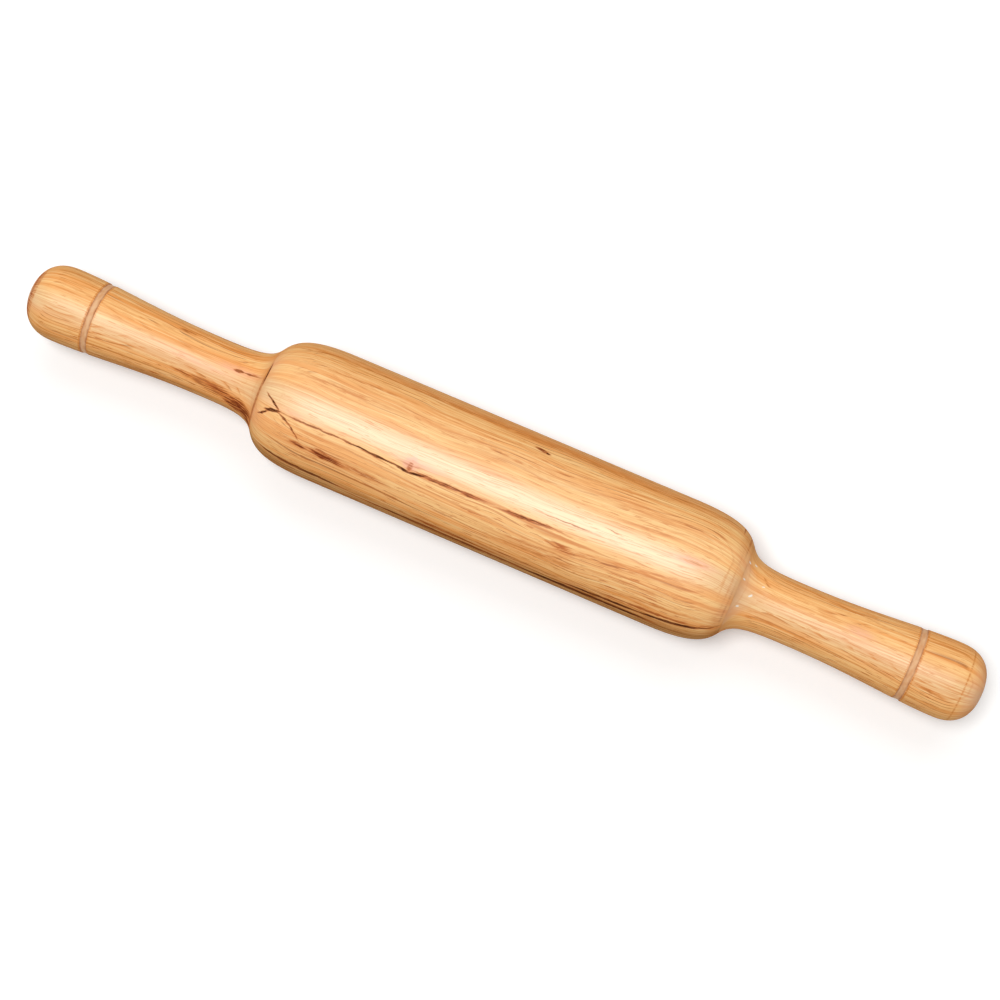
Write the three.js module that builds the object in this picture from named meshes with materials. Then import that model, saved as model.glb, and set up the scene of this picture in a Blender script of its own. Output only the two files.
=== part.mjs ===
// A turned wooden rolling pin: a straight barrel, a waisted handle glued into each end of it,
// and a pale band set in the groove that runs round each handle.
// Millimetres, +Z up. The pin lies along X on its barrel, and the origin is on the surface
// that it lies on, under the middle of the pin.
import * as THREE from "three";

// Barrel
const barrelLength = 162.4; // between the two flat ends that the handles seat against
const barrelDiameter = 43;
const shoulderLength = 21.7; // the rounded stretch at each end of the straight part
const seatDiameter = 30.2; // the flat end, which is also the rim of a handle
const seatSlope = 55; // degrees that the outline falls at the seat, on both sides of it
const shoulderFullness = 0.69; // how much of the shoulder stays near the full diameter
const shoulderPull = 4.5; // length over which the shoulder keeps the slope of the seat

// Handles, measured from the seat outwards. The left one is a little longer.
const leftHandleLength = 84.7;
const rightHandleLength = 82.9;
const covePull = 4.5; // length over which the cove keeps the slope of the seat
const coveRunOut = 13; // length over which the cove levels off into the neck
const neckFromSeat = 18.3; // the thinnest place
const neckDiameter = 20.2;
const bulbFromEnd = 12; // the thickest place
const bulbDiameter = 25;
const flareBias = 1.3; // over 1, the handle swells late, towards the bulb
const endRoundness = 2.5; // 2 gives a half ellipse, and more gives a blunter end

// Groove and band round each handle
const grooveFromEnd = 23.9; // to the middle of the groove
const grooveWidth = 2.3;
const grooveDepth = 1.2;
const bandSink = 0.3; // the face of the band lies this far below the wood

// Glued joint between a handle and the barrel
const tenonDiameter = 16;
const tenonLength = 28;
const tenonChamfer = 1.6;
const socketSpare = 2; // room for glue past the end of the tenon
const socketChamfer = 0.8;
const drillPointAngle = 118; // degrees, the cone that the drill leaves
const glueLine = 0.15; // gap that the glue fills, on every glued face

// Fineness of the turned surfaces
const facets = 48; // round the axis, an even count so that one lies flat underneath
const curveSteps = 10;

const barrelRadius = barrelDiameter / 2;
const seatRadius = seatDiameter / 2;
const neckRadius = neckDiameter / 2;
const bulbRadius = bulbDiameter / 2;
const tenonRadius = tenonDiameter / 2;
const socketRadius = tenonRadius + glueLine;
const barrelMiddle = (leftHandleLength - rightHandleLength) / 2;
const halfFacet = Math.PI / facets;

const wood = new THREE.MeshStandardMaterial({ color: 0xe2a765, roughness: 0.35, metalness: 0 });
const filler = new THREE.MeshStandardMaterial({ color: 0xc9a27c, roughness: 0.75, metalness: 0 });

// Profiles are drawn with x as the radius and y as the distance along the pin.

// A point that lies back or on along the slope that the outline has at the seat.
function alongSeatSlope(seatAt, distance) {
  const slope = THREE.MathUtils.degToRad(seatSlope);
  return [seatRadius - distance * Math.sin(slope), seatAt + distance * Math.cos(slope)];
}

// The right half of the barrel, from the end of the straight part to the bottom of the socket.
function barrelHalf() {
  const seatAt = barrelLength / 2;
  const straightEnd = seatAt - shoulderLength;
  const socketFloor = seatAt - tenonLength - socketSpare;
  const drillPoint = socketRadius / Math.tan(THREE.MathUtils.degToRad(drillPointAngle / 2));
  const half = new THREE.Path();
  half.moveTo(barrelRadius, straightEnd);
  half.bezierCurveTo(
    barrelRadius, straightEnd + shoulderFullness * shoulderLength,
    ...alongSeatSlope(seatAt, -shoulderPull),
    seatRadius, seatAt,
  );
  half.lineTo(socketRadius + socketChamfer, seatAt);
  half.lineTo(socketRadius, seatAt - socketChamfer);
  half.lineTo(socketRadius, socketFloor);
  half.lineTo(0, socketFloor - drillPoint);
  return half.getPoints(curveSteps);
}

function barrelProfile() {
  const right = barrelHalf();
  const left = right.map((p) => new THREE.Vector2(p.x, -p.y)).reverse();
  return [...left, ...right];
}

// Radius between the neck and the bulb of a handle of that length.
function flareRadius(along, length) {
  const share = (along - neckFromSeat) / (length - bulbFromEnd - neckFromSeat);
  const swell = THREE.MathUtils.smoothstep(share ** flareBias, 0, 1);
  return THREE.MathUtils.lerp(neckRadius, bulbRadius, swell);
}

function drawFlare(path, from, to, length, steps) {
  for (let i = 0; i <= steps; i++) {
    const along = THREE.MathUtils.lerp(from, to, i / steps);
    path.lineTo(flareRadius(along, length), along);
  }
}

// The domed end, a superellipse from the bulb to the axis.
function drawEnd(path, length) {
  for (let i = 1; i < curveSteps; i++) {
    const turn = (Math.PI / 2) * (i / curveSteps);
    const across = Math.cos(turn) ** (2 / endRoundness);
    const out = Math.sin(turn) ** (2 / endRoundness);
    path.lineTo(bulbRadius * across, length - bulbFromEnd + bulbFromEnd * out);
  }
  path.lineTo(0, length);
}

function grooveFloorRadius(length) {
  return flareRadius(length - grooveFromEnd, length) - grooveDepth;
}

// A whole handle, from the tip of its tenon to its domed end, with the seat at zero.
function handleProfile(length) {
  const grooveStart = length - grooveFromEnd - grooveWidth / 2;
  const grooveEnd = grooveStart + grooveWidth;
  const handle = new THREE.Path();
  handle.moveTo(0, -tenonLength);
  handle.lineTo(tenonRadius - tenonChamfer, -tenonLength);
  handle.lineTo(tenonRadius, -tenonLength + tenonChamfer);
  handle.lineTo(tenonRadius, glueLine);
  handle.lineTo(seatRadius, glueLine);
  handle.bezierCurveTo(
    ...alongSeatSlope(glueLine, covePull),
    neckRadius, neckFromSeat - coveRunOut,
    neckRadius, neckFromSeat,
  );
  drawFlare(handle, neckFromSeat, grooveStart, length, curveSteps);
  handle.lineTo(grooveFloorRadius(length), grooveStart);
  handle.lineTo(grooveFloorRadius(length), grooveEnd);
  drawFlare(handle, grooveEnd, length - bulbFromEnd, length, curveSteps / 2);
  drawEnd(handle, length);
  return handle.getPoints(curveSteps);
}

function bandProfile(length) {
  const middle = length - grooveFromEnd;
  const inner = grooveFloorRadius(length) + glueLine;
  const outer = flareRadius(middle, length) - bandSink;
  const start = middle - grooveWidth / 2 + glueLine;
  const end = middle + grooveWidth / 2 - glueLine;
  const band = new THREE.Path();
  band.moveTo(inner, start);
  band.lineTo(outer, start);
  band.lineTo(outer, end);
  band.lineTo(inner, end);
  band.closePath();
  return band.getPoints();
}

function turned(name, profile, material) {
  const geometry = new THREE.LatheGeometry(profile, facets, halfFacet);
  const mesh = new THREE.Mesh(geometry, material);
  mesh.name = name;
  return mesh;
}

function bandedHandle(side, length) {
  const group = new THREE.Group();
  group.add(turned(`${side}_handle`, handleProfile(length), wood));
  group.add(turned(`${side}_groove_band`, bandProfile(length), filler));
  return group;
}

const barrel = turned("barrel", barrelProfile(), wood);
barrel.position.y = barrelMiddle;

const rightHandle = bandedHandle("right", rightHandleLength);
rightHandle.position.y = barrelMiddle + barrelLength / 2;

const leftHandle = bandedHandle("left", leftHandleLength);
leftHandle.position.y = barrelMiddle - barrelLength / 2;
leftHandle.rotation.z = Math.PI;

const rollingPin = new THREE.Group();
rollingPin.add(barrel, rightHandle, leftHandle);

// The turning axis is laid along X, at the height where one facet rests on the surface.
rollingPin.rotation.z = -Math.PI / 2;
rollingPin.position.z = barrelRadius * Math.cos(halfFacet);

const part = new THREE.Group();
part.add(rollingPin);

export default part;
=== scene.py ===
"""A turned wooden rolling pin, dressed in worn yellow-orange wood and shown on a plain pale floor."""

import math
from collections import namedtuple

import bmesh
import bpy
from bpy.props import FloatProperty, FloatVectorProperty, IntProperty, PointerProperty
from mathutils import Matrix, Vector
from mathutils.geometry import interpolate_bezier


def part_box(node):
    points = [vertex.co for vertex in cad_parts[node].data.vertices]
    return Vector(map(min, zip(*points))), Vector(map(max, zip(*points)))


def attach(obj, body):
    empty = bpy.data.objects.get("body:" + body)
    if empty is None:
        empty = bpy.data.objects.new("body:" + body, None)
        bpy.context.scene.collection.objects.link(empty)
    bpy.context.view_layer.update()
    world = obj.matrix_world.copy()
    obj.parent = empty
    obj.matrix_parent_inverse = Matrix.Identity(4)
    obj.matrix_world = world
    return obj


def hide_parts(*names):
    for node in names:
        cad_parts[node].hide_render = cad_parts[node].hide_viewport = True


bl_info = {
    "name": "Turned Rolling Pin",
    "version": (1, 0, 0),
    "blender": (4, 5, 0),
    "location": "View3D > Sidebar > Rolling Pin",
    "description": "Turns the barrel and handles of a wooden rolling pin and sets up a plain stage",
    "category": "Add Mesh",
}

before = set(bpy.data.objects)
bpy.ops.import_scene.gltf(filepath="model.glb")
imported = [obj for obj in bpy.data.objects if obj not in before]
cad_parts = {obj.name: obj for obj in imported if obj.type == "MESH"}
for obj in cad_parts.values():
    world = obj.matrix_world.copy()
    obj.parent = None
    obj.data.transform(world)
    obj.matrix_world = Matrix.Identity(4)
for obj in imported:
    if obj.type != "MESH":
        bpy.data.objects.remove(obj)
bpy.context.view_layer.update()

MM = 0.001
BODY = "root"

# The way from the middle of the pin, along X
SIDES = {"left": -1, "right": 1}

BARREL_LOW, BARREL_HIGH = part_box("barrel")
HANDLE_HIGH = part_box("right_handle")[1]
AXIS_HEIGHT = (BARREL_LOW.z + BARREL_HIGH.z) / 2

# Radii of the solids, in millimetres
BARREL_RADIUS = (BARREL_HIGH.z - AXIS_HEIGHT) / MM
SEAT_RADIUS = (HANDLE_HIGH.z - AXIS_HEIGHT) / MM

# Distances from the middle of the pin, outwards
Places = namedtuple("Places", "seat tenon_tip end band_start band_end")


def outward(node, way):
    low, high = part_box(node)
    return sorted((way * low.x, way * high.x))


def places_on(side):
    way = SIDES[side]
    return Places(outward("barrel", way)[1], *outward(f"{side}_handle", way),
                  *outward(f"{side}_groove_band", way))


# Settings that a user would change

FEWEST_FACES = 16


def length(name, text, millimetres):
    return FloatProperty(name=name, description=text, default=millimetres * MM, min=0, unit="LENGTH",
                         precision=5)


def share(name, text, default):
    return FloatProperty(name=name, description=text, default=default, min=0)


def face_count(name, text, default):
    return IntProperty(name=name, description=text, default=default, min=FEWEST_FACES)


def lamp_power(name, text, watts):
    return FloatProperty(name=name, description=text, default=watts, min=0, unit="POWER")


def colour(name, text, red, green, blue):
    return FloatVectorProperty(name=name, description=text, default=(red, green, blue), subtype="COLOR",
                               min=0, max=1)


def angle(name, text, degrees):
    return FloatProperty(name=name, description=text, default=math.radians(degrees), subtype="ANGLE")


class PinShape(bpy.types.PropertyGroup):
    """Sizes of the turned pieces. Those that the solids show come from their boxes."""

    barrel_radius: length("Barrel radius", "Radius of the straight part", BARREL_RADIUS)
    shoulder_length: length("Shoulder length", "Rounded stretch at each end of the straight part", 21.7)
    shoulder_fullness: share("Shoulder fullness", "How long the shoulder stays near full diameter", 0.69)
    seat_radius: length("Seat radius", "Rim where a handle meets the barrel", SEAT_RADIUS)
    seat_slope: angle("Seat slope", "How steeply the outline falls at the seat", 55)
    seat_pull: length("Seat pull", "How far the outline keeps the slope of the seat, each way", 4.5)
    seam: length("Seam", "Hairline between a handle and the barrel", 0.01)
    neck_from_seat: length("Neck from seat", "Distance from the seat to the thinnest place", 18.3)
    neck_radius: length("Neck radius", "Radius at the thinnest place", 10.1)
    cove_run_out: length("Cove run-out", "How far the cove levels off before the neck", 13)
    bulb_from_end: length("Bulb from end", "Distance from the end to the thickest place", 12)
    bulb_radius: length("Bulb radius", "Radius at the thickest place", 12.5)
    flare_bias: share("Flare bias", "Over 1, the handle swells late", 1.3)
    end_roundness: share("End roundness", "2 gives a half ellipse, more a blunter end", 2.5)
    groove_width: length("Groove width", "Width of the groove round a handle", 2.3)
    groove_depth: length("Groove depth", "Depth of that groove", 1.2)
    groove_ease: length("Groove ease", "Rounding of the groove's rims", 0.1)
    band_sink: length("Band sink", "How far a band lies below the wood", 0.12)
    tenon_radius: length("Tenon radius", "Radius of the glued tenon", 8)
    tenon_chamfer: length("Tenon chamfer", "Chamfer at the tip of the tenon", 1.6)
    socket_gap: length("Socket gap", "Room for glue round the tenon", 0.15)
    socket_spare: length("Socket spare", "Room for glue past the tenon", 2)
    drill_angle: angle("Drill angle", "Full angle of the cone that the drill leaves", 118)
    barrel_sides: face_count("Barrel sides", "Faces round the barrel", 320)
    handle_sides: face_count("Handle sides", "Faces round a handle", 200)
    row_step: length("Row step", "Distance between rows of faces along the pin", 0.65)


class PinFinish(bpy.types.PropertyGroup):
    """Colours and gloss of the wood and of the bands."""

    pale: colour("Pale wood", "Broad yellow parts of the wood", 0.95, 0.57, 0.222)
    warm: colour("Warm wood", "Broad orange parts of the wood", 0.89, 0.375, 0.10)
    # Painted highlight: a paler, whiter wood along the crown, under the lamp's highlight
    painted_highlight: colour("Bleached wood", "Worn crown of the pin", 0.80, 0.56, 0.32)
    tan: colour("Soft line", "Pale edges of the growth lines", 0.71, 0.25, 0.05)
    line: colour("Growth line", "Thin brown lines of the growth layers", 0.36, 0.095, 0.016)
    flush: colour("Stain edge", "Reddish edges of stains and cracks", 0.52, 0.13, 0.026)
    stain: colour("Stain", "Red-brown stains and flames", 0.19, 0.036, 0.010)
    # Painted shade: darkens the lower side towards the floor, partly standing for browner wood there
    shade: colour("Shade", "Brown heartwood low on the near side", 0.22, 0.075, 0.016)
    crack: colour("Crack", "Dark cracks and mineral lines", 0.085, 0.027, 0.010)
    blush: colour("Blush", "Pinkish patches round knots", 0.86, 0.40, 0.25)
    residue: colour("Residue", "Dried glue and dust in the coves", 0.86, 0.51, 0.30)
    speck: colour("Speck", "Pale flecks of dried glue", 0.93, 0.86, 0.76)
    light: colour("Light fibre", "Palest fibres of the wood", 1.0, 0.74, 0.37)
    band: colour("Band", "Filler in the grooves", 0.76, 0.45, 0.235)
    band_dark: colour("Band shade", "Darker patches of the filler", 0.68, 0.33, 0.14)
    ring_spacing: share("Layer spacing", "Distance between growth layers, in millimetres", 1.7)
    polish: share("Polish", "Weight of the gloss on the crown", 0.8)
    gloss: share("Gloss roughness", "Roughness of the worn finish", 0.42)


class PinStage(bpy.types.PropertyGroup):
    """Camera, floor and lamps."""

    azimuth: angle("Azimuth", "Turn of the camera round the pin", 23.57)
    elevation: angle("Elevation", "Height of the camera above the horizon", 77.2)
    distance: length("Distance", "From the camera to its aim", 706)
    aim: FloatVectorProperty(name="Aim", description="Point in the middle of the picture",
                             default=(2.1 * MM, -3.03 * MM, 20.93 * MM), subtype="TRANSLATION",
                             precision=5)
    lens: share("Lens", "Focal length in millimetres on a 36 mm sensor", 79.6)
    floor: colour("Floor", "Plain pale floor", 0.93, 0.93, 0.925)
    floor_bounce: colour("Floor bounce", "The floor as it lights the pin", 0.54, 0.52, 0.50)
    floor_lift: share("Floor lift", "How much whiter the floor looks than its light makes it", 0.16)
    key_power: lamp_power("Key power", "Power of the lamp close to the camera's line", 17.7)
    window_power: lamp_power("Window power", "Power of the broad lamp on the far side", 6)
    fill: share("Fill", "Strength of the light from all round", 0.25)


# Outlines, as distances along the pin and radii

# Rows on a curved stretch, for each one that a straight stretch of its length would have
SHOULDER_ROWS = 1.5
COVE_ROWS = 1.5
DOME_ROWS = 2.0
BAND_FACE_POINTS = 7


def even_steps(start, end, step):
    count = max(1, round(abs(end - start) / step))
    return [start + (end - start) * i / count for i in range(count + 1)]


def seat_point(shape, seat_at, distance):
    """A point that lies on or back along the slope of the outline at the seat."""
    return Vector((seat_at + distance * math.cos(shape.seat_slope),
                   shape.seat_radius - distance * math.sin(shape.seat_slope)))


def half_barrel(shape, places):
    """The barrel on one side, from its middle to the bottom of the socket."""
    straight_end = places.seat - shape.shoulder_length
    socket_radius = shape.tenon_radius + shape.socket_gap
    socket_floor = places.tenon_tip - shape.socket_spare
    drill_point = socket_radius / math.tan(shape.drill_angle / 2)
    shoulder = interpolate_bezier(
        Vector((straight_end, shape.barrel_radius)),
        Vector((straight_end + shape.shoulder_fullness * shape.shoulder_length, shape.barrel_radius)),
        seat_point(shape, places.seat, -shape.seat_pull),
        Vector((places.seat, shape.seat_radius)),
        round(SHOULDER_ROWS * shape.shoulder_length / shape.row_step),
    )
    half = [Vector((x, shape.barrel_radius)) for x in even_steps(0, straight_end, shape.row_step)]
    half += shoulder[1:]
    half.append(Vector((places.seat, socket_radius)))
    half.append(Vector((socket_floor, socket_radius)))
    half.append(Vector((socket_floor - drill_point, 0)))
    return half


def barrel_outline(shape):
    """The whole barrel, from the bottom of the left socket to the bottom of the right one."""
    left = [Vector((-p.x, p.y)) for p in half_barrel(shape, places_on("left"))]
    return left[:0:-1] + half_barrel(shape, places_on("right"))


def flare_radius(shape, places, along):
    """Radius of a handle between its neck and its bulb."""
    neck = places.seat + shape.neck_from_seat
    bulb = places.end - shape.bulb_from_end
    swell = max((along - neck) / (bulb - neck), 0) ** shape.flare_bias
    return shape.neck_radius + (shape.bulb_radius - shape.neck_radius) * swell * swell * (3 - 2 * swell)


def groove_ends(shape, places):
    middle = (places.band_start + places.band_end) / 2
    return middle - shape.groove_width / 2, middle + shape.groove_width / 2


def handle_outline(shape, places):
    """A whole handle, from the tip of its tenon to its domed end."""
    rim = places.seat + shape.seam
    neck = places.seat + shape.neck_from_seat
    bulb = places.end - shape.bulb_from_end
    groove_start, groove_end = groove_ends(shape, places)
    groove_floor = flare_radius(shape, places, (groove_start + groove_end) / 2) - shape.groove_depth
    ease = shape.groove_ease
    cove = interpolate_bezier(
        Vector((rim, shape.seat_radius)),
        seat_point(shape, rim, shape.seat_pull),
        Vector((neck - shape.cove_run_out, shape.neck_radius)),
        Vector((neck, shape.neck_radius)),
        round(COVE_ROWS * shape.neck_from_seat / shape.row_step),
    )
    outline = [Vector((places.tenon_tip, 0)),
               Vector((places.tenon_tip, shape.tenon_radius - shape.tenon_chamfer))]
    outline.append(Vector((places.tenon_tip + shape.tenon_chamfer, shape.tenon_radius)))
    outline.append(Vector((rim, shape.tenon_radius)))
    outline += cove
    outline += [Vector((x, flare_radius(shape, places, x)))
                for x in even_steps(neck, groove_start - ease, shape.row_step)[1:]]
    outline.append(Vector((groove_start, flare_radius(shape, places, groove_start) - ease)))
    outline.append(Vector((groove_start, groove_floor)))
    outline.append(Vector((groove_end, groove_floor)))
    outline.append(Vector((groove_end, flare_radius(shape, places, groove_end) - ease)))
    outline += [Vector((x, flare_radius(shape, places, x)))
                for x in even_steps(groove_end + ease, bulb, shape.row_step)]
    rows = round(DOME_ROWS * shape.bulb_from_end / shape.row_step)
    for i in range(1, rows):
        turn = math.pi / 2 * i / rows
        across = math.cos(turn) ** (2 / shape.end_roundness)
        out = math.sin(turn) ** (2 / shape.end_roundness)
        outline.append(Vector((bulb + shape.bulb_from_end * out, shape.bulb_radius * across)))
    outline.append(Vector((places.end, 0)))
    return outline


def band_outline(shape, places):
    """The closed section of a band in its groove, a little hollow where the filler has shrunk."""
    low, high = groove_ends(shape, places)
    low += shape.seam
    high -= shape.seam
    wood = flare_radius(shape, places, (low + high) / 2)
    inner = wood - shape.groove_depth + shape.seam
    outer = wood - shape.band_sink
    face = interpolate_bezier(
        Vector((low, outer)),
        Vector((low + (high - low) / 3, outer - shape.groove_ease)),
        Vector((high - (high - low) / 3, outer - shape.groove_ease)),
        Vector((high, outer)),
        BAND_FACE_POINTS,
    )
    return [Vector((low, inner)), *face, Vector((high, inner)), Vector((low, inner))]


# Marks in the wood: strokes from one point to another, along the pin in millimetres
# from its middle, and round it in degrees from straight up, towards the far side

Mark = namedtuple("Mark", "start end start_angle end_angle width strength")
RING_REACH = 190.0  # degrees each way, so that the pointed ends lie past the join underneath


def ring(at, width, strength):
    """A mark that runs all the way round the pin."""
    return Mark(at, at, -RING_REACH, RING_REACH, width, strength)


BARREL_MARKS = {
    "blush": (
        Mark(-33, -14, -20.5, -19, 2, 0.4),
        Mark(-28.5, -23, -21.5, -21.5, 3, 0.85),
        Mark(-26, -25.6, -26, -16, 1.6, 0.9),
        Mark(-79, -56, -21, -22, 1.6, 0.3),
        Mark(60, 73, -5.5, -3.5, 1.8, 0.5),
    ),
    "toast": (
        Mark(-40, 78, 54, 54, 3, 0.48),
        Mark(-78, -20, 52, 56, 2, 0.32),
        Mark(79.4, 79.4, 8, 84, 2.2, 0.34),
        Mark(79.8, 79.8, -84, -24, 2, 0.34),
        Mark(8, 34, -53, -50, 2, 0.4),
        Mark(24, 31, -39, -38, 2, 0.45),
        Mark(34, 74, -36, -24, 2.2, 0.4),
        Mark(-66, -42, -46, -48, 2.6, 0.55),
        Mark(30, 62, 17, 21, 1.6, 0.35),
        Mark(-46, 26, 17, 18, 2, 0.32),
    ),
    "streak": (
        Mark(-70, -39, 14, 15, 1.3, 0.5),
        Mark(-71, -30, 27, 31, 0.5, 0.6),
        Mark(-76, -66, 47, 44, 0.5, 0.6),
        Mark(-46, -30, -45.5, -48, 1.6, 0.4),
        Mark(-24, 1.5, -27, -26.6, 1.2, 1),
        Mark(3, 24.5, -27.2, -24.8, 1, 0.95),
        Mark(-5, 0.6, 18, 17, 0.7, 0.7),
        Mark(2.8, 6.2, 16.5, 16, 0.7, 0.6),
        Mark(8, 16.3, 28, 28, 0.4, 0.6),
        Mark(8.8, 17.8, 9, 10, 0.4, 0.5),
        Mark(8, 27, -48, -45, 1, 0.55),
        Mark(58, 68, 23, 25, 0.7, 0.8),
        Mark(40, 63, 4, 9, 0.9, 0.5),
        Mark(62.5, 70.5, -6, -4, 0.7, 0.6),
        Mark(36, 51, -37, -29, 0.5, 0.55),
        Mark(49, 66, -30, -23, 0.5, 0.55),
        Mark(23.6, 31, -45, -46, 0.5, 0.75),
        Mark(24, 34, -48, -49, 0.4, 0.75),
        Mark(44, 68, 49, 55, 0.6, 0.7),
        Mark(68, 78, 55, 57, 0.6, 0.7),
        Mark(-76, 20, 49, 48, 1.2, 0.6),
        Mark(-20, 74, 52, 47, 0.9, 0.6),
        Mark(6, 34, -54, -51, 0.8, 0.6),
        Mark(38, 62, -47, -43, 0.7, 0.6),
        Mark(44, 74, -58, -52, 0.6, 0.6),
        Mark(79.6, 79.6, -34, 22, 0.35, 0.36),
        Mark(77.4, 77.4, -24, 12, 0.35, 0.32),
        Mark(23.6, 30, -34, -39, 0.6, 0.9),
        Mark(25, 34, -40.5, -37.5, 0.7, 0.9),
        Mark(21, 28.5, -36.5, -41, 0.5, 0.85),
        Mark(31, 56, -38.5, -30, 0.6, 0.8),
    ),
    "stain": (
        Mark(-64.5, -58.5, -45.3, -46, 0.9, 1),
        Mark(-59, -46.5, -45, -47, 1, 1),
        Mark(-57.5, -46, -47.6, -48.8, 0.7, 1),
        Mark(-56, -48, -42.6, -43.4, 0.4, 0.85),
        Mark(-43.5, -33, -46, -48, 0.4, 0.7),
        Mark(-44, -37, -47.6, -49, 0.4, 0.65),
        Mark(7.2, 12, 39, 37, 1, 0.9),
        Mark(-26.2, -25.7, -28, -19, 1.5, 0.55),
        Mark(-29.5, -22, -22.5, -22, 0.5, 0.4),
        Mark(-27.6, -23.4, -20, -19.5, 0.4, 0.32),
        Mark(24.6, 31.5, -38, -39.6, 1.2, 0.55),
        Mark(25.5, 29.5, -35.4, -36.4, 0.6, 0.5),
        Mark(50, 76, -66, -61, 0.4, 0.7),
        Mark(-24, 8, -73, -75, 0.9, 0.85),
        Mark(2, 30, -70, -71, 0.5, 0.7),
        Mark(80.6, 80.6, 34, 76, 0.4, 0.45),
        Mark(81, 81, -64, -12, 0.4, 0.3),
    ),
    "crack": (
        Mark(31, 59, -75, -70, 1.2, 0.95),
        Mark(54, 80.5, -71, -63, 1.2, 0.95),
        Mark(14, 62, -82, -78, 1.7, 1),
        Mark(-76, -44, -70, -75, 1.3, 0.85),
        Mark(-40, 22, -80, -81, 1.3, 0.85),
        Mark(40, 72, -66.5, -61, 0.7, 0.55),
        Mark(-80.2, -80.2, -8, 22, 0.7, 1),
        # Painted shade: the next two dark lines lie along each shoulder near its far outline, where it
        # turns away from the light
        Mark(-76.8, -76.8, 54, 80, 0.5, 0.45),
        Mark(77.6, 77.6, 52, 80, 0.5, 0.5),
        Mark(-80.2, -80.2, -60, 2, 0.3, 0.55),
        Mark(-76, -70.5, -28.5, -24.5, 1, 1),
        Mark(-76.8, -71.2, -14, -24, 0.6, 1),
        Mark(-78, -74.6, -37.5, -29, 0.55, 1),
        Mark(-71.4, -66.4, -25.8, -31.4, 0.5, 0.9),
        Mark(-67.2, -62.4, -30.4, -40.8, 0.5, 0.8),
        Mark(-71.5, -45, -25, -25, 0.4, 0.8),
        Mark(-50, -28, -25, -28, 0.65, 1),
        Mark(-32, -24.6, -27, -29.4, 0.55, 1),
        Mark(-27, -19.5, -29.5, -26.4, 0.55, 1),
        Mark(-23, -1, -26.2, -25.9, 0.4, 0.95),
        Mark(-19.5, -12, -27.6, -27.6, 0.5, 0.9),
        Mark(-8, -3, -27.5, -27.3, 0.45, 0.8),
        Mark(4, 24.5, -26.2, -24.6, 0.4, 0.9),
        Mark(9, 16, -27, -26.2, 0.45, 0.8),
        Mark(17.2, 36, -16.2, -15, 0.35, 0.6),
        Mark(37.8, 42.8, -7, -8, 0.3, 0.6),
        Mark(10.7, 12.3, 37.3, 36.7, 0.7, 1),
    ),
}

LEFT_HANDLE_MARKS = {
    "blush": (
        Mark(-118, -92, -8, -18, 2.4, 0.28),
        Mark(-97, -83, 1, 1, 2, 0.42),
    ),
    "streak": (
        Mark(-114, -106.5, 35, 36, 1.3, 0.75),
        Mark(-111.6, -106.4, 8, 6, 0.6, 0.45),
        Mark(-111, -102, -41, -45, 1.3, 0.75),
        Mark(-105, -80.6, -42, -58, 4, 0.8),
        ring(-142.5, 0.25, 0.6),
        ring(-139.7, 0.2, 0.4),
        ring(-161.8, 1.4, 0.6),
    ),
    "stain": (
        Mark(-98, -88, -44, -51, 0.8, 0.9),
        # Stains of the red-brown flame; where they run into the corner at the seat, low on the near side,
        # they also paint the shade in that corner
        Mark(-95, -80.6, -47, -56, 1.2, 1),
        Mark(-93, -80.6, -53, -62, 2, 1),
        Mark(-92, -80.6, -60, -74, 3, 1),
        ring(-162.8, 1, 0.6),
    ),
    "crack": (
        Mark(-80.6, -80.6, -90, 22, 0.4, 0.5),
        Mark(-91.6, -88, 0, 0, 0.9, 0.9),
        Mark(-90, -82, 0, 1, 0.35, 0.7),
        Mark(-110, -104, -40.5, -44, 0.4, 0.7),
    ),
}

RIGHT_HANDLE_MARKS = {
    "blush": (
        Mark(118, 127, 4, 4, 1.8, 0.4),
        ring(163, 7, 0.2),
    ),
    "streak": (
        Mark(95, 139, 52, 26, 0.5, 0.6),
        Mark(144, 154, -36, -41, 0.6, 0.7),
        Mark(107, 116, 16, 5, 2.5, 0.3),
        ring(142.5, 0.25, 0.6),
        ring(139.7, 0.2, 0.4),
        ring(158, 0.3, 0.5),
    ),
    "speck": (
        Mark(82.3, 83.1, 30, 30, 0.35, 0.7),
        Mark(84.5, 85.3, 37, 37, 0.35, 0.7),
        Mark(82.5, 83.3, 5, 5, 0.35, 0.7),
        Mark(86.2, 87.2, -14, -11, 0.45, 0.8),
        Mark(83.8, 84.6, -33, -33, 0.35, 0.7),
        Mark(89.1, 89.9, 9, 11, 0.35, 0.7),
    ),
}

# Kinds of marks: how far their edges fade, in millimetres, the share of their strength left between
# fibres, their colours at the edge and in the core, and whether they take the polish off
Kind = namedtuple("Kind", "softness evenness edge core matt")

KINDS = {
    "blush": Kind(1.8, 0.5, "blush", "blush", False),
    "toast": Kind(2.4, 0.3, "tan", "tan", False),
    "streak": Kind(0.45, 0.3, "tan", "line", False),
    "stain": Kind(0.5, 0.3, "flush", "stain", True),
    "crack": Kind(0.25, 0.7, "flush", "crack", True),
    "speck": Kind(0.2, 0.8, "speck", "speck", False),
}

FRAY = 1.0  # millimetres by which the edges of marks run to and fro

# What sets the wooden pieces apart: their marks, their painted shade underneath, the share of the polish
# they keep, the middle and half the width of the painted highlight on their crown, in degrees round the
# pin, and residue
Wear = namedtuple("Wear", "marks shaded polished crown reach residue")

WEAR = {
    "barrel": Wear(BARREL_MARKS, 0.72, 1.0, -10.0, 16.0, False),
    "left": Wear(LEFT_HANDLE_MARKS, 0.35, 0.5, -20.0, 30.0, False),
    "right": Wear(RIGHT_HANDLE_MARKS, 0.05, 0.5, -20.0, 30.0, True),
}


# Node trees

# How a mask comes in: it is low where a value is at start or before it, and high where it is at end or on
Fade = namedtuple("Fade", "start end low high", defaults=(0.0, 1.0))

NOISE_MIDDLE = 0.5
CROWN = -10.0  # degrees round the pin, close to the line that faces the camera


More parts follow.
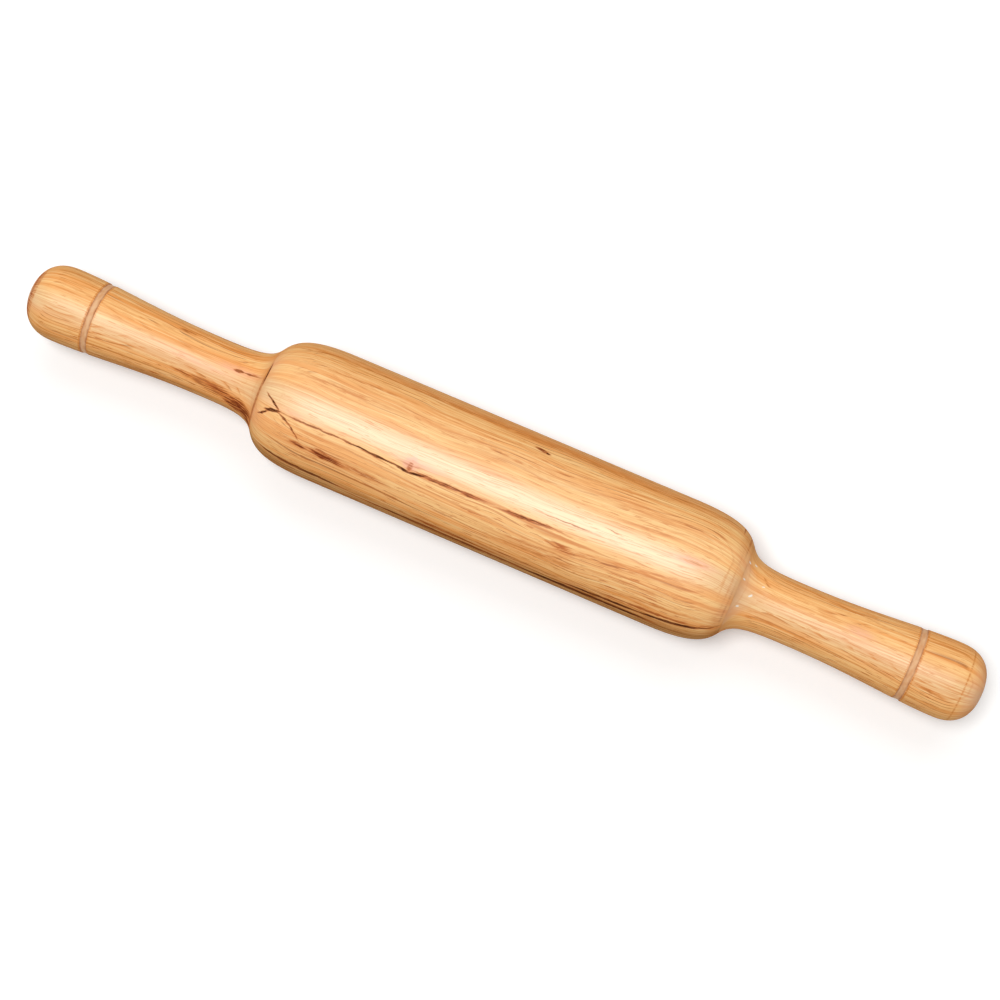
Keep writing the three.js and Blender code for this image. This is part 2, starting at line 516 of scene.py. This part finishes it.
class Graph:
    """Adds nodes to one node tree and joins them up."""

    def __init__(self, tree):
        self.tree = tree

    def add(self, kind, **settings):
        node = self.tree.nodes.new(kind)
        for key, value in settings.items():
            setattr(node, key, value)
        return node

    def put(self, socket, value):
        if isinstance(value, bpy.types.NodeSocket):
            self.tree.links.new(value, socket)
        else:
            socket.default_value = value

    def math(self, operation, first, second=0.0):
        node = self.add("ShaderNodeMath", operation=operation)
        self.put(node.inputs[0], first)
        self.put(node.inputs[1], second)
        return node.outputs[0]

    def plus(self, first, second):
        return self.math("ADD", first, second)

    def minus(self, first, second):
        return self.math("SUBTRACT", first, second)

    def times(self, first, second):
        return self.math("MULTIPLY", first, second)

    def without(self, mask):
        """What a mask leaves over."""
        return self.minus(1.0, mask)

    def apart(self, first, second):
        """How far two values lie apart."""
        return self.math("ABSOLUTE", self.minus(first, second))

    def hypot(self, first, second):
        """The long side of a right triangle."""
        squares = [self.times(side, side) for side in (first, second)]
        return self.math("SQRT", self.plus(*squares))

    def vector(self, operation, first, second):
        node = self.add("ShaderNodeVectorMath", operation=operation)
        self.put(node.inputs[0], first)
        self.put(node.inputs[1], second)
        return node.outputs["Value" if operation == "DOT_PRODUCT" else "Vector"]

    def magnitude(self, vector):
        node = self.add("ShaderNodeVectorMath", operation="LENGTH")
        self.put(node.inputs[0], vector)
        return node.outputs["Value"]

    def split(self, vector):
        node = self.add("ShaderNodeSeparateXYZ")
        self.put(node.inputs[0], vector)
        return node.outputs

    def join(self, x, y, z):
        node = self.add("ShaderNodeCombineXYZ")
        for socket, value in zip(node.inputs, (x, y, z)):
            self.put(socket, value)
        return node.outputs[0]

    def ease(self, value, start, end, low=0.0, high=1.0):
        """Runs smoothly from low to high as the value goes from start to end.

        A smooth step stays between the two by itself, and a clamp would cost a node more.
        """
        node = self.add("ShaderNodeMapRange", interpolation_type="SMOOTHSTEP", clamp=False)
        for socket, given in zip(node.inputs, (value, start, end, low, high)):
            self.put(socket, given)
        return node.outputs[0]

    def mix(self, part, first, second):
        """Mixes two colours, whose sockets share their names with other kinds and so go by number."""
        node = self.add("ShaderNodeMix", data_type="RGBA")
        self.put(node.inputs["Factor"], part)
        self.put(node.inputs[6], first)
        self.put(node.inputs[7], second)
        return node.outputs[2]

    def noise(self, place, along, across, detail=2.0, shift=0.0, roughness=0.5):
        """Noise whose features are that long along the pin and that wide across it, in millimetres.

        Shift moves the noise, so that no two patterns have the same places.
        """
        moved = self.vector("ADD", place, (shift, shift, shift))
        scaled = self.vector("MULTIPLY", moved, (1 / along, 1 / across, 1 / across))
        node = self.add("ShaderNodeTexNoise", noise_dimensions="3D")
        self.put(node.inputs["Vector"], scaled)
        self.put(node.inputs["Scale"], 1.0)
        self.put(node.inputs["Detail"], detail)
        self.put(node.inputs["Roughness"], roughness)
        return node.outputs[0]

    def group(self, tree, **values):
        node = self.add("ShaderNodeGroup", node_tree=tree)
        for name, value in values.items():
            self.put(node.inputs[name.replace("_", " ").title()], value)
        return node.outputs


def new_group(name, inputs, outputs):
    """An empty node group with named sockets: the graph, its input sockets and its output sockets."""
    tree = bpy.data.node_groups.new(name, "ShaderNodeTree")
    for socket, kind in inputs.items():
        tree.interface.new_socket(socket, in_out="INPUT", socket_type="NodeSocket" + kind)
    for socket, kind in outputs.items():
        tree.interface.new_socket(socket, in_out="OUTPUT", socket_type="NodeSocket" + kind)
    graph = Graph(tree)
    return graph, graph.add("NodeGroupInput").outputs, graph.add("NodeGroupOutput").inputs


# The grain wanders all over the pin, and turns up the barrel towards its right end, near the crown
WANDER = 14.0  # degrees from side to side
RISE = Fade(24.0, 66.0)  # millimetres along the pin
RISE_BACK = Fade(96.0, 72.0)  # millimetres along the pin
RISE_TURN = Fade(80.0, 30.0, 0.0, 7.0)  # by degrees off the crown, in degrees


def turned_place_group():
    """Where a point lies on the pin: millimetres along it, degrees round it, millimetres from its axis.

    Place is the point in the straight grain of the billet before it wandered, and Sheet is the same
    point moved straight out to the cylinder whose radius is Reference.
    """
    graph, given, made = new_group(
        "Turned place", {"Position": "Vector", "Reference": "Float"},
        {"Place": "Vector", "Sheet": "Vector", "Along": "Float", "Around": "Float", "Radius": "Float"})
    centred = graph.vector("SUBTRACT", given["Position"], (0, 0, AXIS_HEIGHT))
    place = graph.vector("MULTIPLY", centred, (1 / MM, 1 / MM, 1 / MM))
    along, aside, above = graph.split(place)
    around = graph.math("DEGREES", graph.math("ARCTAN2", aside, above))
    radius = graph.magnitude(graph.vector("MULTIPLY", place, (0, 1, 1)))
    swing = graph.minus(graph.noise(place, 50, 16, shift=91), NOISE_MIDDLE)
    wander = graph.times(swing, WANDER)
    rise = graph.times(graph.ease(along, *RISE), graph.ease(along, *RISE_BACK))
    near_crown = graph.ease(graph.apart(around, CROWN), *RISE_TURN)
    drift = graph.plus(wander, graph.times(rise, near_crown))
    turn = graph.math("RADIANS", graph.minus(around, drift))
    for name, reach in (("Place", radius), ("Sheet", given["Reference"])):
        moved_aside = graph.times(graph.math("SINE", turn), reach)
        moved_above = graph.times(graph.math("COSINE", turn), reach)
        graph.put(made[name], graph.join(along, moved_aside, moved_above))
    graph.put(made["Along"], along)
    graph.put(made["Around"], around)
    graph.put(made["Radius"], radius)
    return graph.tree


# Growth layers: where the pith lies, and how they bend
LAYER_FACING = -8.0  # degrees round the pin, the way from the pith to the pin
LAYER_DIP = 0.02  # fall of the layers along the pin
PITH_DEPTH = 70.0  # millimetres from the axis of the pin
SWAY = 5.0  # millimetres
RIPPLE = 0.9  # millimetres

# Surfaces that face along the pin: 0 is a side and 1 is an end
END_SLOPE = Fade(0.12, 0.35)
DOME_SLOPE = Fade(0.55, 0.85)

# Lines of the late wood, by the part of a layer, with breaks by noise
LATE_WOOD = Fade(0.62, 0.93)
LATE_WOOD_EDGE = Fade(1.0, 0.95)
LAYER_WEIGHT = Fade(0.0, 1.0, 0.2, 1.0)
LINE_BREAKS = Fade(0.38, 0.60, 0.10, 1.0)
END_LINES = 0.30  # weight of the lines on the ends
THIN_LINES = 2.73  # thin lines in a layer
THIN_LINE = Fade(0.60, 0.95)
THIN_BREAKS = Fade(0.42, 0.60)
THIN_WEIGHT = 0.8
LINES_BY_CUT = Fade(0.12, 0.50, 0.12, 1.0)  # flat-cut wood in the middle shows fewer lines

# Broad warm parts by noise, and the warmer wood nearer the pith, in millimetres from it
BROAD_PARTS = Fade(0.36, 0.64)
BROAD_WARMTH = 0.65
INNER_WOOD = Fade(PITH_DEPTH + 21.0, PITH_DEPTH + 13.0)
INNER_WARMTH = 0.35
DASHES = Fade(0.60, 0.68)


def billet_grain_group():
    """Growth layers that lie flat under the upper side of the pin, with fibres along it.

    Slope is how far the surface faces along the pin: 0 on its sides and 1 on its ends.
    """
    graph, given, made = new_group(
        "Billet grain",
        {"Place": "Vector", "Sheet": "Vector", "Radius": "Float", "Slope": "Float", "Spacing": "Float"},
        {name: "Float" for name in ("Line", "Warmth", "Fibre", "Dash", "Fray", "Mottle")})
    place = given["Place"]
    sheet = given["Sheet"]
    facing = math.radians(LAYER_FACING)
    depth = graph.vector("DOT_PRODUCT", place, (LAYER_DIP, math.sin(facing), math.cos(facing)))
    aside = graph.vector("DOT_PRODUCT", place, (0, math.cos(facing), -math.sin(facing)))
    reach = graph.hypot(graph.plus(depth, PITH_DEPTH), aside)
    sway = graph.times(graph.noise(sheet, 140, 18, shift=11), SWAY)
    ripple = graph.times(graph.noise(sheet, 60, 4, shift=5), RIPPLE)
    layers = graph.plus(reach, graph.plus(sway, ripple))
    count = graph.math("DIVIDE", layers, given["Spacing"])
    part = graph.math("FRACT", count)
    chance = graph.add("ShaderNodeTexWhiteNoise", noise_dimensions="1D")
    graph.put(chance.inputs["W"], graph.math("FLOOR", count))
    on_end = graph.ease(given["Slope"], *END_SLOPE)
    on_side = graph.without(on_end)
    late = graph.times(graph.ease(part, *LATE_WOOD), graph.ease(part, *LATE_WOOD_EDGE))
    broken = graph.ease(graph.noise(sheet, 70, 1.6, detail=3.0, shift=3), *LINE_BREAKS)
    weight = graph.ease(chance.outputs["Value"], *LAYER_WEIGHT)
    kept = graph.plus(graph.times(broken, on_side), graph.times(on_end, END_LINES))
    main_line = graph.times(graph.times(late, weight), kept)
    thin = graph.math("FRACT", graph.times(count, THIN_LINES))
    thin_broken = graph.ease(graph.noise(sheet, 50, 0.9, detail=3.0, shift=57), *THIN_BREAKS)
    thin_line = graph.times(graph.ease(thin, *THIN_LINE), graph.times(thin_broken, on_side))
    lines = graph.math("MAXIMUM", main_line, graph.times(thin_line, THIN_WEIGHT))
    cut = graph.math("DIVIDE", graph.math("ABSOLUTE", aside), given["Radius"])
    crossing = graph.math("MAXIMUM", graph.ease(cut, *LINES_BY_CUT), on_end)
    graph.put(made["Line"], graph.times(lines, crossing))
    broad = graph.ease(graph.noise(sheet, 90, 2.6, detail=3.0, shift=29), *BROAD_PARTS)
    inner = graph.ease(reach, *INNER_WOOD)
    warmth = graph.plus(graph.times(broad, BROAD_WARMTH), graph.times(inner, INNER_WARMTH))
    graph.put(made["Warmth"], warmth)
    on_dome = graph.ease(given["Slope"], *DOME_SLOPE)
    fine = graph.noise(sheet, 26, 0.42, detail=4.0, shift=17, roughness=0.62)
    fibre = graph.times(graph.minus(fine, NOISE_MIDDLE), graph.without(on_dome))
    graph.put(made["Fibre"], graph.plus(fibre, NOISE_MIDDLE))
    dash = graph.ease(graph.noise(sheet, 6.0, 0.34, shift=41), *DASHES)
    graph.put(made["Dash"], graph.times(dash, on_side))
    graph.put(made["Fray"], graph.minus(graph.noise(sheet, 3.0, 0.8, shift=71), NOISE_MIDDLE))
    graph.put(made["Mottle"], graph.noise(sheet, 5.0, 0.32, shift=83))
    return graph.tree


def stroke_group():
    """One stroke on the unrolled surface, with pointed ends, as a mask.

    Run and Side point along and across the stroke, and are as long as one over half its size that way.
    """
    graph, given, made = new_group(
        "Stroke",
        {"Flat": "Vector", "Middle": "Vector", "Run": "Vector", "Side": "Vector", "Outer": "Float",
         "Inner": "Float", "Strength": "Float"},
        {"Mask": "Float"})
    away = graph.vector("SUBTRACT", given["Flat"], given["Middle"])
    along = graph.vector("DOT_PRODUCT", away, given["Run"])
    across = graph.vector("DOT_PRODUCT", away, given["Side"])
    distance = graph.hypot(along, across)
    graph.put(made["Mask"], graph.ease(distance, given["Outer"], given["Inner"], 0.0, given["Strength"]))
    return graph.tree


def node_groups():
    """The groups that the wooden pieces share, made once."""
    makers = {"Turned place": turned_place_group, "Billet grain": billet_grain_group,
              "Stroke": stroke_group}
    return {name: bpy.data.node_groups.get(name) or make() for name, make in makers.items()}


# The parts of its softness by which a stroke is drawn in at its ends, and by which its core is narrower
DRAWN_IN = 0.2
NARROWER = 0.6


def stroke_values(mark, reference, softness):
    """The inputs of a stroke, whose softness widens it to the sides more than to the ends.

    Reference is the radius on which it lies. Both that and the softness are in millimetres.
    """
    start = Vector((mark.start, math.radians(mark.start_angle) * reference, 0))
    end = Vector((mark.end, math.radians(mark.end_angle) * reference, 0))
    ahead = (end - start).normalized()
    half_width = mark.width / 2
    soft = softness / half_width
    half_length = (end - start).length / 2 / (1 + DRAWN_IN * soft)
    return {"middle": (start + end) / 2, "run": ahead / half_length,
            "side": Vector((-ahead.y, ahead.x, 0)) / half_width,
            "outer": 1 + soft, "inner": max(1 - NARROWER * soft, 0), "strength": mark.strength}


def marks_mask(graph, stroke, flat, marks, reference, softness):
    """The strongest of several marks at each point."""
    strongest = 0.0
    for mark in marks:
        mask = graph.group(stroke, flat=flat, **stroke_values(mark, reference, softness))["Mask"]
        strongest = graph.math("MAXIMUM", strongest, mask)
    return strongest


# Materials

# Plain wood
PAINTED_HIGHLIGHT_CORE = 5.0  # degrees off the middle of the painted highlight, where it is palest
PAINTED_HIGHLIGHT_WEIGHT = 0.6
LINE_WEIGHT = 0.95
DARK_FIBRE = Fade(0.52, 0.30, 0.0, 0.72)  # by noise
LIGHT_FIBRE = Fade(0.48, 0.70, 0.0, 0.55)  # by noise
DASH_WEIGHT = Fade(-22.0, -48.0, 0.45, 0.85)  # by degrees round the pin
END_GRAIN = Fade(0.55, 0.95, 0.0, 0.30)  # by slope
PAINTED_SHADE_BELOW = Fade(-64.0, -80.0)  # painted shade on the lower side, by degrees round the pin
SHADE_BY_FIBRE = Fade(0.62, 0.36, 0.35, 0.95)

# Marks in it
MARK_BY_MOTTLE = (0.38, 0.54)
TINT_EDGE = Fade(0.0, 0.55, 0.0, 0.85)
TINT_CORE = Fade(0.35, 1.0)

# Polish, by degrees off the crown
POLISH_FULL = 24.0
POLISH_WORN = 58.0
POLISH_LEFT = 0.10
COAT_INDEX = 1.85  # index of refraction
WOOD_ROUGHNESS = 0.6

# Residue in the right cove, whose edge comes to a point and falls back to both sides of it
RESIDUE_POINT = 93.2  # millimetres along the pin
RESIDUE_POINT_ANGLE = 7.0  # degrees round the pin
RESIDUE_FALL_BEYOND = 0.51  # millimetres in a degree, towards the far side
RESIDUE_FALL_BEFORE = -0.15  # millimetres in a degree, from the near side
RESIDUE_RAGGED = 2.0  # millimetres
RESIDUE_EDGE = Fade(0.5, -0.8)  # millimetres past the edge
RESIDUE_WEIGHT = Fade(88.0, 82.5, 0.14, 0.36)  # by millimetres along the pin
RESIDUE_UNEVEN = 0.5

# Bands
BAND_PATCHES = Fade(0.3, 0.7)  # by noise
BAND_EDGE_SHADE = Fade(0.45, 1.1, 0.0, 0.8)  # painted shade at the band's edges, next to the groove's walls, by millimetres from its middle
BAND_EDGE_SHADE_PATCHES = Fade(1.0, 0.0, 0.5, 1.0)
BAND_ROUGHNESS = 0.7


def opaque(rgb):
    return (*rgb, 1.0)


def new_material(name):
    material = bpy.data.materials.new(name)
    material.use_nodes = True
    graph = Graph(material.node_tree)
    shader = material.node_tree.nodes["Principled BSDF"]
    return material, graph, shader


def tint(graph, wood, mask, edge, core):
    """Colours the wood by a mask: the edge colour where it is weak, the core colour where it is strong."""
    wood = graph.mix(graph.ease(mask, *TINT_EDGE), wood, opaque(edge))
    return graph.mix(graph.ease(mask, *TINT_CORE), wood, opaque(core))


def plain_wood(graph, finish, wear, place, grain, slope):
    """The colour of the wood, with the painted highlight along its crown, but without marks and the
    painted shade underneath.
    """
    wood = graph.mix(grain["Warmth"], opaque(finish.pale), opaque(finish.warm))
    # Painted highlight: the wood turns paler and whiter along the crown, where the lamp's highlight falls
    highlight_paling = graph.ease(graph.apart(place["Around"], wear.crown), wear.reach, PAINTED_HIGHLIGHT_CORE, 0.0, PAINTED_HIGHLIGHT_WEIGHT)
    wood = graph.mix(highlight_paling, wood, opaque(finish.painted_highlight))
    wood = tint(graph, wood, graph.times(grain["Line"], LINE_WEIGHT), finish.tan, finish.line)
    wood = graph.mix(graph.ease(grain["Fibre"], *DARK_FIBRE), wood, opaque(finish.tan))
    wood = graph.mix(graph.ease(grain["Fibre"], *LIGHT_FIBRE), wood, opaque(finish.light))
    dashes = graph.times(grain["Dash"], graph.ease(place["Around"], *DASH_WEIGHT))
    wood = tint(graph, wood, dashes, finish.tan, finish.flush)
    return graph.mix(graph.ease(slope, *END_GRAIN), wood, opaque(finish.tan))


def wood_material(name, finish, wear, radius):
    """Worn and polished wood. Its marks are measured on a cylinder of that radius, in metres."""
    material, graph, shader = new_material(name)
    groups = node_groups()
    reference = radius / MM
    where = graph.add("ShaderNodeTexCoord")
    place = graph.group(groups["Turned place"], position=where.outputs["Object"], reference=reference)
    slope = graph.math("ABSOLUTE", graph.vector("DOT_PRODUCT", where.outputs["Normal"], (1, 0, 0)))
    grain = graph.group(groups["Billet grain"], place=place["Place"], sheet=place["Sheet"],
                        radius=place["Radius"], slope=slope, spacing=finish.ring_spacing)
    off_crown = graph.apart(place["Around"], CROWN)
    wood = plain_wood(graph, finish, wear, place, grain, slope)
    # Painted shade: darker, browner colour on the lower near side towards the floor, uneven along the
    # fibres; the polish comes off there too
    painted_shade_mask = graph.times(graph.ease(place["Around"], *PAINTED_SHADE_BELOW), wear.shaded)
    uneven = graph.ease(grain["Fibre"], *SHADE_BY_FIBRE)
    wood = graph.mix(graph.times(painted_shade_mask, uneven), wood, opaque(finish.shade))
    if wear.residue:
        wood = graph.mix(residue_mask(graph, place, grain), wood, opaque(finish.residue))
    polish = graph.ease(off_crown, POLISH_FULL, POLISH_WORN, finish.polish * wear.polished, POLISH_LEFT)
    polish = graph.times(polish, graph.without(painted_shade_mask))
    unrolled = graph.times(graph.math("RADIANS", place["Around"]), reference)
    frayed = graph.plus(unrolled, graph.times(grain["Fray"], FRAY))
    flat = graph.join(place["Along"], frayed, 0.0)
    for name_of_kind, marks in wear.marks.items():
        kind = KINDS[name_of_kind]
        mask = marks_mask(graph, groups["Stroke"], flat, marks, reference, kind.softness)
        mottled = graph.ease(grain["Mottle"], *MARK_BY_MOTTLE, kind.evenness, 1.0)
        mask = graph.times(mask, mottled)
        wood = tint(graph, wood, mask, getattr(finish, kind.edge), getattr(finish, kind.core))
        if kind.matt:
            polish = graph.times(polish, graph.without(mask))
    graph.put(shader.inputs["Base Color"], wood)
    graph.put(shader.inputs["Coat Weight"], polish)
    shader.inputs["Roughness"].default_value = WOOD_ROUGHNESS
    shader.inputs["Coat Roughness"].default_value = finish.gloss
    shader.inputs["Coat IOR"].default_value = COAT_INDEX
    shader.inputs["Specular IOR Level"].default_value = 0.0
    return material


def residue_mask(graph, place, grain):
    """Dust and dried glue in the right cove, out to a pointed edge."""
    over = graph.minus(place["Around"], RESIDUE_POINT_ANGLE)
    beyond = graph.times(graph.math("MAXIMUM", over, 0.0), RESIDUE_FALL_BEYOND)
    before = graph.times(graph.math("MINIMUM", over, 0.0), RESIDUE_FALL_BEFORE)
    past = graph.minus(place["Along"], RESIDUE_POINT)
    past = graph.plus(past, graph.plus(beyond, before))
    ragged = graph.plus(past, graph.times(grain["Fray"], RESIDUE_RAGGED))
    patchy = graph.times(grain["Fray"], RESIDUE_UNEVEN)
    thick = graph.plus(graph.ease(place["Along"], *RESIDUE_WEIGHT), patchy)
    return graph.times(graph.ease(ragged, *RESIDUE_EDGE), thick)


def band_material(finish):
    """Matt, mottled filler, with painted shade darkening its edges next to the groove's walls."""
    material, graph, shader = new_material("groove_band_filler")
    where = graph.add("ShaderNodeTexCoord")
    place = graph.vector("MULTIPLY", where.outputs["Object"], (1 / MM, 1 / MM, 1 / MM))
    uneven = graph.ease(graph.noise(place, 1.2, 2.5, detail=3.0), *BAND_PATCHES)
    filler = graph.mix(uneven, opaque(finish.band_dark), opaque(finish.band))
    places = places_on("right")
    middle = (places.band_start + places.band_end) / 2 / MM
    aside = graph.apart(graph.math("ABSOLUTE", graph.split(place)["X"]), middle)
    # Painted shade: the band darkens towards its edges, where the groove's walls shade it
    edge = graph.times(graph.ease(aside, *BAND_EDGE_SHADE), graph.ease(uneven, *BAND_EDGE_SHADE_PATCHES))
    graph.put(shader.inputs["Base Color"], graph.mix(edge, filler, opaque(finish.line)))
    shader.inputs["Roughness"].default_value = BAND_ROUGHNESS
    return material


# Pieces

MERGE_DISTANCE = 0.001 * MM
SHARP_ANGLE = 40.0  # degrees between two faces that meet in a sharp edge


def spin_piece(name, outline, sides, way=1, closed=False):
    """Turns an outline round the pin's axis into one closed piece. Way is -1 on the left of the pin."""
    mesh = bpy.data.meshes.new(name)
    turned = bmesh.new()
    points = outline[:-1] if closed else outline
    rim = [turned.verts.new((way * p.x, 0, AXIS_HEIGHT + p.y)) for p in points]
    edges = [turned.edges.new(pair) for pair in zip(rim, rim[1:])]
    if closed:
        edges.append(turned.edges.new((rim[-1], rim[0])))
    bmesh.ops.spin(turned, geom=rim + edges, cent=(0, 0, AXIS_HEIGHT), axis=(1, 0, 0), dvec=(0, 0, 0),
                   angle=2 * math.pi, steps=sides, use_merge=True, use_duplicate=False)
    bmesh.ops.remove_doubles(turned, verts=turned.verts, dist=MERGE_DISTANCE)
    bmesh.ops.recalc_face_normals(turned, faces=turned.faces)
    if not all(edge.is_manifold for edge in turned.edges):
        raise RuntimeError(f"{name} is not a closed piece")
    for face in turned.faces:
        face.smooth = True
    turned.to_mesh(mesh)
    turned.free()
    mesh.set_sharp_from_angle(angle=math.radians(SHARP_ANGLE))
    piece = bpy.data.objects.new(name, mesh)
    bpy.context.scene.collection.objects.link(piece)
    return piece


def dress(piece, material, node):
    piece.data.materials.append(material)
    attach(piece, BODY)
    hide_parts(node)


class TurnBarrel(bpy.types.Operator):
    """Turn the barrel, with a socket in each end"""

    bl_idname = "rolling_pin.turn_barrel"
    bl_label = "Turn Barrel"

    def execute(self, context):
        shape = context.scene.pin_shape
        piece = spin_piece("barrel_wood", barrel_outline(shape), shape.barrel_sides)
        finish = context.scene.pin_finish
        wood = wood_material("barrel_wood", finish, WEAR["barrel"], shape.barrel_radius)
        dress(piece, wood, "barrel")
        return {"FINISHED"}


class TurnHandles(bpy.types.Operator):
    """Turn both handles, with their tenons and grooves"""

    bl_idname = "rolling_pin.turn_handles"
    bl_label = "Turn Handles"

    def execute(self, context):
        shape = context.scene.pin_shape
        for side, way in SIDES.items():
            name = f"{side}_handle_wood"
            piece = spin_piece(name, handle_outline(shape, places_on(side)), shape.handle_sides, way)
            wood = wood_material(name, context.scene.pin_finish, WEAR[side], shape.neck_radius)
            dress(piece, wood, f"{side}_handle")
        return {"FINISHED"}


class SetBands(bpy.types.Operator):
    """Set the filler bands in the grooves"""

    bl_idname = "rolling_pin.set_bands"
    bl_label = "Set Bands"

    def execute(self, context):
        shape = context.scene.pin_shape
        material = band_material(context.scene.pin_finish)
        for side, way in SIDES.items():
            outline = band_outline(shape, places_on(side))
            piece = spin_piece(f"{side}_band_filler", outline, shape.handle_sides, way, closed=True)
            dress(piece, material, f"{side}_groove_band")
        return {"FINISHED"}


# Stage, in metres where nothing else is said

FLOOR_HALF = 20.0
FLOOR_ROUGHNESS = 0.9
WHITENS_FROM = 0.3
WHITENS_TO = 1.5
SENSOR_WIDTH = 36.0  # millimetres
NEAR_CLIP = 0.01
LAMP_DISTANCE = 1.6

# Tilt is in degrees round the pin, from straight up. Power names a setting of the stage.
Lamp = namedtuple("Lamp", "name power tilt along size mirrored")
LAMPS = (
    Lamp("key_softbox", "key_power", -11.4, -0.14, (0.65, 0.5), True),
    Lamp("window_softbox", "window_power", 30.0, -0.1, (1.5, 1.0), False),
)


def seen_directly(graph):
    """1 for rays that show a surface to the camera, straight or by gloss or glass, and otherwise 0."""
    path = graph.add("ShaderNodeLightPath")
    seen = graph.plus(path.outputs["Is Camera Ray"], path.outputs["Is Glossy Ray"])
    return graph.math("MINIMUM", graph.plus(seen, path.outputs["Is Transmission Ray"]), 1.0)


def floor_material(stage):
    """White to the eye with the pin's shadow on it, and plain pale as a source of light."""
    material, graph, shader = new_material("plain_floor")
    seen = seen_directly(graph)
    floor = graph.mix(seen, opaque(stage.floor_bounce), opaque(stage.floor))
    graph.put(shader.inputs["Base Color"], floor)
    where = graph.add("ShaderNodeTexCoord")
    distance = graph.magnitude(where.outputs["Object"])
    lift = graph.ease(distance, WHITENS_FROM, WHITENS_TO, stage.floor_lift, 1.0)
    graph.put(shader.inputs["Emission Strength"], graph.times(seen, lift))
    shader.inputs["Emission Color"].default_value = opaque(stage.floor)
    shader.inputs["Roughness"].default_value = FLOOR_ROUGHNESS
    shader.inputs["Specular IOR Level"].default_value = 0.0
    return material


def towards_camera(azimuth, elevation):
    return Vector((math.sin(azimuth) * math.cos(elevation), -math.cos(azimuth) * math.cos(elevation),
                   math.sin(elevation)))


class SetStage(bpy.types.Operator):
    """Lay the floor and set the camera and the lamps"""

    bl_idname = "rolling_pin.set_stage"
    bl_label = "Set Stage"

    def execute(self, context):
        scene = context.scene
        stage = scene.pin_stage
        scene.view_settings.view_transform = "Standard"
        self.lay_floor(scene, stage)
        self.set_camera(scene, stage)
        for lamp in LAMPS:
            self.hang_lamp(scene, lamp, getattr(stage, lamp.power))
        self.light_room(scene, stage)
        return {"FINISHED"}

    def lay_floor(self, scene, stage):
        mesh = bpy.data.meshes.new("floor")
        sheet = bmesh.new()
        bmesh.ops.create_grid(sheet, x_segments=1, y_segments=1, size=FLOOR_HALF)
        sheet.to_mesh(mesh)
        sheet.free()
        mesh.materials.append(floor_material(stage))
        floor = bpy.data.objects.new("floor", mesh)
        scene.collection.objects.link(floor)

    def set_camera(self, scene, stage):
        back = towards_camera(stage.azimuth, stage.elevation)
        data = bpy.data.cameras.new("photo_view")
        data.sensor_width = SENSOR_WIDTH
        data.lens = stage.lens
        data.clip_start = NEAR_CLIP
        camera = bpy.data.objects.new("photo_view", data)
        camera.location = Vector(stage.aim) + stage.distance * back
        camera.rotation_euler = (-back).to_track_quat("-Z", "Y").to_euler()
        scene.collection.objects.link(camera)
        scene.camera = camera

    def hang_lamp(self, scene, lamp, power):
        """Hangs a soft box over the pin, turned towards its middle."""
        data = bpy.data.lights.new(lamp.name, "AREA")
        data.shape = "RECTANGLE"
        data.size, data.size_y = lamp.size
        data.energy = power
        hung = bpy.data.objects.new(lamp.name, data)
        hung.visible_glossy = lamp.mirrored
        tilt = math.radians(lamp.tilt)
        aim = Vector((0, 0, AXIS_HEIGHT))
        hung.location = aim + Vector((lamp.along, LAMP_DISTANCE * math.sin(tilt),
                                      LAMP_DISTANCE * math.cos(tilt)))
        hung.rotation_euler = (aim - hung.location).to_track_quat("-Z", "Y").to_euler()
        scene.collection.objects.link(hung)

    def light_room(self, scene, stage):
        """Even light from all round, which is white to the eye."""
        world = bpy.data.worlds.new("soft_room")
        world.use_nodes = True
        scene.world = world
        graph = Graph(world.node_tree)
        background = world.node_tree.nodes["Background"]
        background.inputs["Color"].default_value = (1.0, 1.0, 1.0, 1.0)
        strength = graph.ease(seen_directly(graph), 0.0, 1.0, stage.fill, 1.0)
        graph.put(background.inputs["Strength"], strength)


class PinPanel(bpy.types.Panel):
    """The operators and settings of the rolling pin"""

    bl_idname = "VIEW3D_PT_rolling_pin"
    bl_label = "Rolling Pin"
    bl_space_type = "VIEW_3D"
    bl_region_type = "UI"
    bl_category = "Rolling Pin"

    def draw(self, context):
        column = self.layout.column()
        for operator in OPERATORS:
            column.operator(operator.bl_idname)
        for settings in (context.scene.pin_shape, context.scene.pin_finish, context.scene.pin_stage):
            box = self.layout.box()
            for key in settings.bl_rna.properties.keys():
                if key not in ("rna_type", "name"):
                    box.prop(settings, key)


SETTINGS = {"pin_shape": PinShape, "pin_finish": PinFinish, "pin_stage": PinStage}
OPERATORS = (TurnBarrel, TurnHandles, SetBands, SetStage)
CLASSES = (*SETTINGS.values(), *OPERATORS, PinPanel)


def register():
    for made in CLASSES:
        bpy.utils.register_class(made)
    for name, kind in SETTINGS.items():
        setattr(bpy.types.Scene, name, PointerProperty(type=kind))


def unregister():
    for name in SETTINGS:
        delattr(bpy.types.Scene, name)
    for made in reversed(CLASSES):
        bpy.utils.unregister_class(made)


def main():
    register()
    bpy.ops.rolling_pin.turn_barrel()
    bpy.ops.rolling_pin.turn_handles()
    bpy.ops.rolling_pin.set_bands()
    bpy.ops.rolling_pin.set_stage()


if __name__ == "__main__":
    main()
